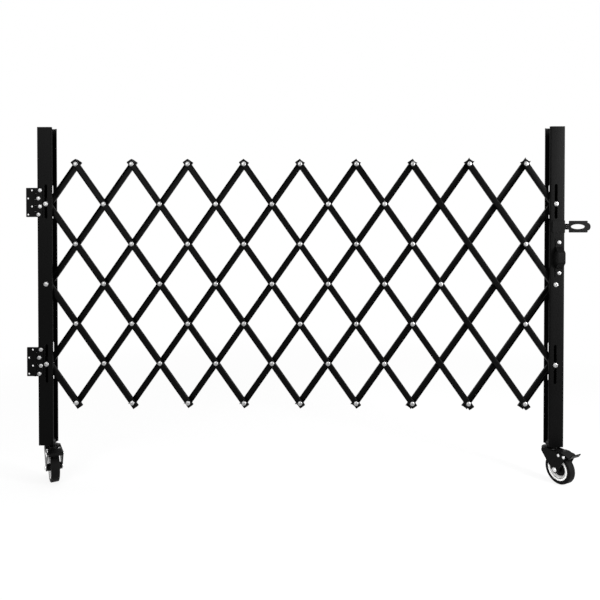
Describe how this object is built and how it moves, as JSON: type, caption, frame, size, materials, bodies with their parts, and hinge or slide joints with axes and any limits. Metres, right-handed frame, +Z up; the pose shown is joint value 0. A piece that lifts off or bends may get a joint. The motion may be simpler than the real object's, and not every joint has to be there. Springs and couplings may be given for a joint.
{
  "type": "expandable safety barrier",
  "caption": "Black steel expandable barrier: scissor lattice of riveted bars between two caster posts, with wall hinges, hasp and pull handle.",
  "frame": {"origin": "on the floor, in the middle of the barrier's footprint at its pictured width", "axes": "+X along the barrier from the wall hinges to the hasp, -Y toward the side that shows the handle, +Z up"},
  "size_m": [1.9254, 0.1377, 1.21],
  "materials": {
    "post_black": "satin powder coat",
    "bar_black": "satin powder coat",
    "bar_black_rear": "satin powder coat",
    "hinge_black": "satin powder coat",
    "hasp_black": "satin powder coat",
    "fastener_zinc": "zinc plated, semi gloss",
    "rivet_zinc": "zinc plated, semi gloss",
    "stem_zinc": "zinc plated",
    "fork_black": "semi gloss coat",
    "pedal_black": "semi gloss coat",
    "wheel_core_white": "moulded, matte",
    "tyre_black": "matte rubber"
  },
  "bodies": {
    "wall": {"upper_wall_leaf": "hinge_black", "lower_wall_leaf": "hinge_black", "hinge_pins": "fastener_zinc"},
    "left_post": {"left_post": "post_black", "upper_post_leaf": "hinge_black", "lower_post_leaf": "hinge_black", "left_post_fasteners": "fastener_zinc", "left_caster_stem": "stem_zinc"},
    "right_post": {"right_post": "post_black", "right_post_fasteners": "fastener_zinc", "pull_handle": "hasp_black", "hasp_plate": "hasp_black", "right_caster_stem": "stem_zinc"},
    "hasp_strap": {"hasp_strap": "hasp_black"},
    "rising_bar_01": {"rising_bar_01": "bar_black_rear"},
    "rising_bar_02": {"rising_bar_02": "bar_black_rear"},
    "rising_bar_03": {"rising_bar_03": "bar_black_rear"},
    "rising_bar_04": {"rising_bar_04": "bar_black_rear"},
    "rising_bar_05": {"rising_bar_05": "bar_black_rear"},
    "rising_bar_06": {"rising_bar_06": "bar_black_rear"},
    "rising_bar_07": {"rising_bar_07": "bar_black_rear"},
    "rising_bar_08": {"rising_bar_08": "bar_black_rear"},
    "rising_bar_09": {"rising_bar_09": "bar_black_rear"},
    "rising_bar_10": {"rising_bar_10": "bar_black_rear"},
    "rising_bar_11": {"rising_bar_11": "bar_black_rear"},
    "rising_bar_12": {"rising_bar_12": "bar_black_rear"},
    "falling_bar_01": {"falling_bar_01": "bar_black", "rivets_01": "rivet_zinc"},
    "falling_bar_02": {"falling_bar_02": "bar_black", "rivets_02": "rivet_zinc"},
    "falling_bar_03": {"falling_bar_03": "bar_black", "rivets_03": "rivet_zinc"},
    "falling_bar_04": {"falling_bar_04": "bar_black", "rivets_04": "rivet_zinc"},
    "falling_bar_05": {"falling_bar_05": "bar_black", "rivets_05": "rivet_zinc"},
    "falling_bar_06": {"falling_bar_06": "bar_black", "rivets_06": "rivet_zinc"},
    "falling_bar_07": {"falling_bar_07": "bar_black", "rivets_07": "rivet_zinc"},
    "falling_bar_08": {"falling_bar_08": "bar_black", "rivets_08": "rivet_zinc"},
    "falling_bar_09": {"falling_bar_09": "bar_black", "rivets_09": "rivet_zinc"},
    "falling_bar_10": {"falling_bar_10": "bar_black", "rivets_10": "rivet_zinc"},
    "falling_bar_11": {"falling_bar_11": "bar_black", "rivets_11": "rivet_zinc"},
    "falling_bar_12": {"falling_bar_12": "bar_black", "rivets_12": "rivet_zinc"},
    "left_fork": {"left_caster_fork": "fork_black", "left_caster_bolts": "fastener_zinc"},
    "left_wheel": {"left_wheel_core": "wheel_core_white", "left_wheel_tyre": "tyre_black"},
    "left_pedal": {"left_brake_pedal": "pedal_black"},
    "right_fork": {"right_caster_fork": "fork_black", "right_caster_bolts": "fastener_zinc"},
    "right_wheel": {"right_wheel_core": "wheel_core_white", "right_wheel_tyre": "tyre_black"},
    "right_pedal": {"right_brake_pedal": "pedal_black"}
  },
  "joints": [
    {"name": "gate_swing", "type": "hinge", "parent": "wall", "child": "left_post", "pos_m": [-0.933, 0.0085, 0.679], "axis": [0, 0, -1], "range_deg": [0, 150]},
    {"name": "lattice_fold", "type": "hinge", "parent": "left_post", "child": "rising_bar_02", "pos_m": [-0.896, 0.036, 0.672], "axis": [0, -1, 0], "range_deg": [-11.87, 29.13]},
    {"name": "falling_bar_02_pivot", "type": "hinge", "parent": "left_post", "child": "falling_bar_02", "pos_m": [-0.896, 0.036, 0.672], "axis": [0, -1, 0], "range_deg": [-29.63, 12.37]},
    {"name": "falling_bar_03_pivot", "type": "hinge", "parent": "rising_bar_02", "child": "falling_bar_03", "pos_m": [-0.79933, 0.036, 0.8094], "axis": [0, -1, 0], "range_deg": [-58.76, 24.24]},
    {"name": "falling_bar_04_pivot", "type": "hinge", "parent": "rising_bar_02", "child": "falling_bar_04", "pos_m": [-0.70267, 0.036, 0.94681], "axis": [0, -1, 0], "range_deg": [-58.76, 24.24]},
    {"name": "falling_bar_05_pivot", "type": "hinge", "parent": "rising_bar_02", "child": "falling_bar_05", "pos_m": [-0.606, 0.036, 1.08421], "axis": [0, -1, 0], "range_deg": [-58.76, 24.24]},
    {"name": "rising_bar_03_pivot", "type": "hinge", "parent": "falling_bar_02", "child": "rising_bar_03", "pos_m": [-0.79933, 0.036, 0.5346], "axis": [0, -1, 0], "range_deg": [-24.24, 58.76]},
    {"name": "rising_bar_04_pivot", "type": "hinge", "parent": "falling_bar_02", "child": "rising_bar_04", "pos_m": [-0.70267, 0.036, 0.39719], "axis": [0, -1, 0], "range_deg": [-24.24, 58.76]},
    {"name": "rising_bar_05_pivot", "type": "hinge", "parent": "falling_bar_02", "child": "rising_bar_05", "pos_m": [-0.606, 0.036, 0.25979], "axis": [0, -1, 0], "range_deg": [-24.24, 58.76]},
    {"name": "rising_bar_01_pivot", "type": "hinge", "parent": "falling_bar_04", "child": "rising_bar_01", "pos_m": [-0.79933, 0.036, 1.08421], "axis": [0, -1, 0], "range_deg": [-24.24, 58.76]},
    {"name": "falling_bar_01_pivot", "type": "hinge", "parent": "rising_bar_04", "child": "falling_bar_01", "pos_m": [-0.79933, 0.036, 0.25979], "axis": [0, -1, 0], "range_deg": [-58.76, 24.24]},
    {"name": "rising_bar_06_pivot", "type": "hinge", "parent": "falling_bar_05", "child": "rising_bar_06", "pos_m": [-0.21933, 0.036, 0.5346], "axis": [0, -1, 0], "range_deg": [-24.24, 58.76]},
    {"name": "rising_bar_07_pivot", "type": "hinge", "parent": "falling_bar_05", "child": "rising_bar_07", "pos_m": [-0.12267, 0.036, 0.39719], "axis": [0, -1, 0], "range_deg": [-24.24, 58.76]},
    {"name": "rising_bar_08_pivot", "type": "hinge", "parent": "falling_bar_05", "child": "rising_bar_08", "pos_m": [-0.026, 0.036, 0.25979], "axis": [0, -1, 0], "range_deg": [-24.24, 58.76]},
    {"name": "falling_bar_06_pivot", "type": "hinge", "parent": "rising_bar_05", "child": "falling_bar_06", "pos_m": [-0.21933, 0.036, 0.8094], "axis": [0, -1, 0], "range_deg": [-58.76, 24.24]},
    {"name": "falling_bar_07_pivot", "type": "hinge", "parent": "rising_bar_05", "child": "falling_bar_07", "pos_m": [-0.12267, 0.036, 0.94681], "axis": [0, -1, 0], "range_deg": [-58.76, 24.24]},
    {"name": "falling_bar_08_pivot", "type": "hinge", "parent": "rising_bar_05", "child": "falling_bar_08", "pos_m": [-0.026, 0.036, 1.08421], "axis": [0, -1, 0], "range_deg": [-58.76, 24.24]},
    {"name": "falling_bar_09_pivot", "type": "hinge", "parent": "rising_bar_08", "child": "falling_bar_09", "pos_m": [0.36067, 0.036, 0.8094], "axis": [0, -1, 0], "range_deg": [-58.76, 24.24]},
    {"name": "falling_bar_10_pivot", "type": "hinge", "parent": "rising_bar_08", "child": "falling_bar_10", "pos_m": [0.45733, 0.036, 0.94681], "axis": [0, -1, 0], "range_deg": [-58.76, 24.24]},
    {"name": "falling_bar_11_pivot", "type": "hinge", "parent": "rising_bar_08", "child": "falling_bar_11", "pos_m": [0.554, 0.036, 1.08421], "axis": [0, -1, 0], "range_deg": [-58.76, 24.24]},
    {"name": "rising_bar_09_pivot", "type": "hinge", "parent": "falling_bar_08", "child": "rising_bar_09", "pos_m": [0.36067, 0.036, 0.5346], "axis": [0, -1, 0], "range_deg": [-24.24, 58.76]},
    {"name": "rising_bar_10_pivot", "type": "hinge", "parent": "falling_bar_08", "child": "rising_bar_10", "pos_m": [0.45733, 0.036, 0.39719], "axis": [0, -1, 0], "range_deg": [-24.24, 58.76]},
    {"name": "rising_bar_11_pivot", "type": "hinge", "parent": "falling_bar_08", "child": "rising_bar_11", "pos_m": [0.554, 0.036, 0.25979], "axis": [0, -1, 0], "range_deg": [-24.24, 58.76]},
    {"name": "falling_bar_12_pivot", "type": "hinge", "parent": "rising_bar_09", "child": "falling_bar_12", "pos_m": [0.74733, 0.036, 1.08421], "axis": [0, -1, 0], "range_deg": [-58.76, 24.24]},
    {"name": "rising_bar_12_pivot", "type": "hinge", "parent": "falling_bar_09", "child": "rising_bar_12", "pos_m": [0.74733, 0.036, 0.25979], "axis": [0, -1, 0], "range_deg": [-24.24, 58.76]},
    {"name": "right_post_pivot", "type": "hinge", "parent": "falling_bar_11", "child": "right_post", "pos_m": [0.844, 0.036, 0.672], "axis": [0, -1, 0], "range_deg": [-12.37, 29.63]},
    {"name": "left_swivel", "type": "hinge", "parent": "left_post", "child": "left_fork", "pos_m": [-0.888, 0.036, 0.105], "axis": [0, 0, 1], "continuous": true},
    {"name": "left_wheel_spin", "type": "hinge", "parent": "left_fork", "child": "left_wheel", "pos_m": [-0.86667, -0.00248, 0.05], "axis": [0.8746, 0.4848, 0], "continuous": true},
    {"name": "left_brake", "type": "hinge", "parent": "left_fork", "child": "left_pedal", "pos_m": [-0.85018, -0.03222, 0.103], "axis": [0.8746, 0.4848, 0], "range_deg": [0, 11]},
    {"name": "right_swivel", "type": "hinge", "parent": "right_post", "child": "right_fork", "pos_m": [0.836, 0.036, 0.105], "axis": [0, 0, 1], "continuous": true},
    {"name": "right_wheel_spin", "type": "hinge", "parent": "right_fork", "child": "right_wheel", "pos_m": [0.85598, -0.0032, 0.05], "axis": [0.891, 0.454, 0], "continuous": true},
    {"name": "right_brake", "type": "hinge", "parent": "right_fork", "child": "right_pedal", "pos_m": [0.87141, -0.0335, 0.103], "axis": [0.891, 0.454, 0], "range_deg": [0, 11]},
    {"name": "hasp_swing", "type": "hinge", "parent": "right_post", "child": "hasp_strap", "pos_m": [0.8825, 0.0085, 0.8695], "axis": [0, 0, -1], "range_deg": [0, 165]}
  ],
  "couplings": [
    {"joint": "falling_bar_02_pivot", "follows": "lattice_fold", "ratio": -1},
    {"joint": "falling_bar_03_pivot", "follows": "lattice_fold", "ratio": -2},
    {"joint": "falling_bar_04_pivot", "follows": "lattice_fold", "ratio": -2},
    {"joint": "falling_bar_05_pivot", "follows": "lattice_fold", "ratio": -2},
    {"joint": "rising_bar_03_pivot", "follows": "lattice_fold", "ratio": 2},
    {"joint": "rising_bar_04_pivot", "follows": "lattice_fold", "ratio": 2},
    {"joint": "rising_bar_05_pivot", "follows": "lattice_fold", "ratio": 2},
    {"joint": "rising_bar_01_pivot", "follows": "lattice_fold", "ratio": 2},
    {"joint": "falling_bar_01_pivot", "follows": "lattice_fold", "ratio": -2},
    {"joint": "rising_bar_06_pivot", "follows": "lattice_fold", "ratio": 2},
    {"joint": "rising_bar_07_pivot", "follows": "lattice_fold", "ratio": 2},
    {"joint": "rising_bar_08_pivot", "follows": "lattice_fold", "ratio": 2},
    {"joint": "falling_bar_06_pivot", "follows": "lattice_fold", "ratio": -2},
    {"joint": "falling_bar_07_pivot", "follows": "lattice_fold", "ratio": -2},
    {"joint": "falling_bar_08_pivot", "follows": "lattice_fold", "ratio": -2},
    {"joint": "falling_bar_09_pivot", "follows": "lattice_fold", "ratio": -2},
    {"joint": "falling_bar_10_pivot", "follows": "lattice_fold", "ratio": -2},
    {"joint": "falling_bar_11_pivot", "follows": "lattice_fold", "ratio": -2},
    {"joint": "rising_bar_09_pivot", "follows": "lattice_fold", "ratio": 2},
    {"joint": "rising_bar_10_pivot", "follows": "lattice_fold", "ratio": 2},
    {"joint": "rising_bar_11_pivot", "follows": "lattice_fold", "ratio": 2},
    {"joint": "falling_bar_12_pivot", "follows": "lattice_fold", "ratio": -2},
    {"joint": "rising_bar_12_pivot", "follows": "lattice_fold", "ratio": 2},
    {"joint": "right_post_pivot", "follows": "lattice_fold", "ratio": 1}
  ]
}
